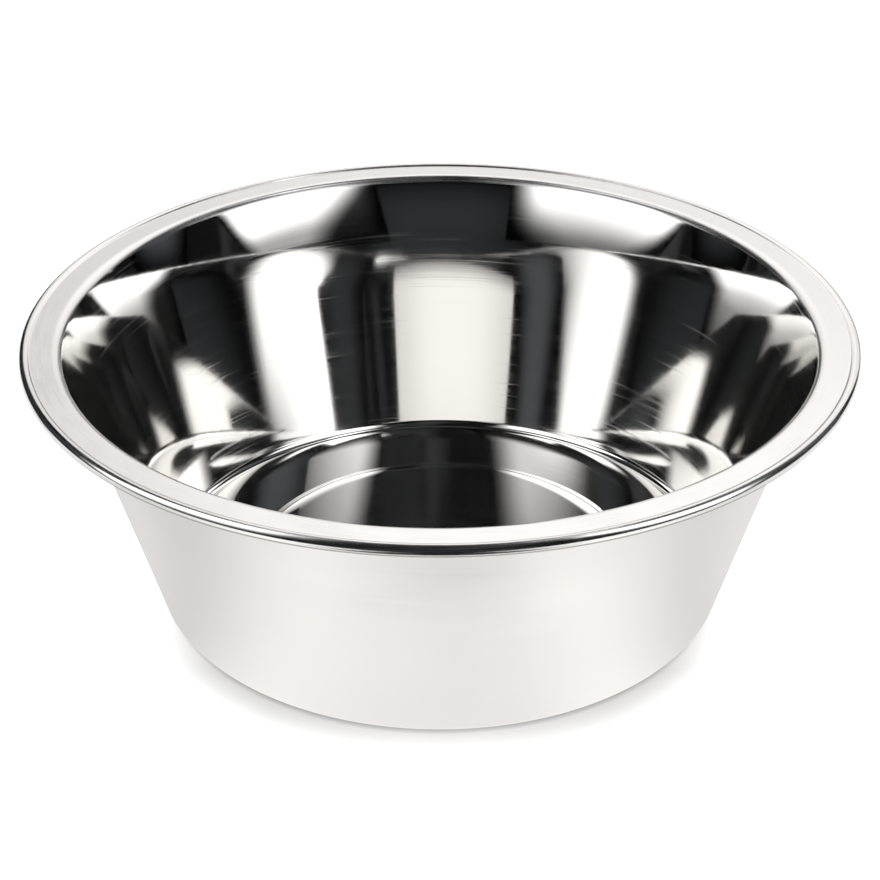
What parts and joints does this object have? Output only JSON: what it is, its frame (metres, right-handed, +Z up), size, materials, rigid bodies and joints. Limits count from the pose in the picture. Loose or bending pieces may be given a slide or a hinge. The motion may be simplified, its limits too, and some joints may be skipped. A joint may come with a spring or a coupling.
{
  "type": "pet bowl",
  "caption": "Round stainless steel dog bowl with sloping polished walls, a raised floor centre and a wide flat rim whose edge is rolled over a wire.",
  "frame": {"origin": "centre of the foot, on the surface the bowl stands on", "axes": "+Z up, along the bowl's axis, out of its mouth; X and Y are alike, and the picture looks along +Y"},
  "size_m": [0.28, 0.28, 0.0975],
  "materials": {
    "stainless_sheet": "mirror polished inside, fine satin outside and on the rim",
    "steel_wire": "drawn, bare"
  },
  "bodies": {
    "root": {"bowl_shell": "stainless_sheet", "rim_wire": "steel_wire"}
  },
  "joints": []
}
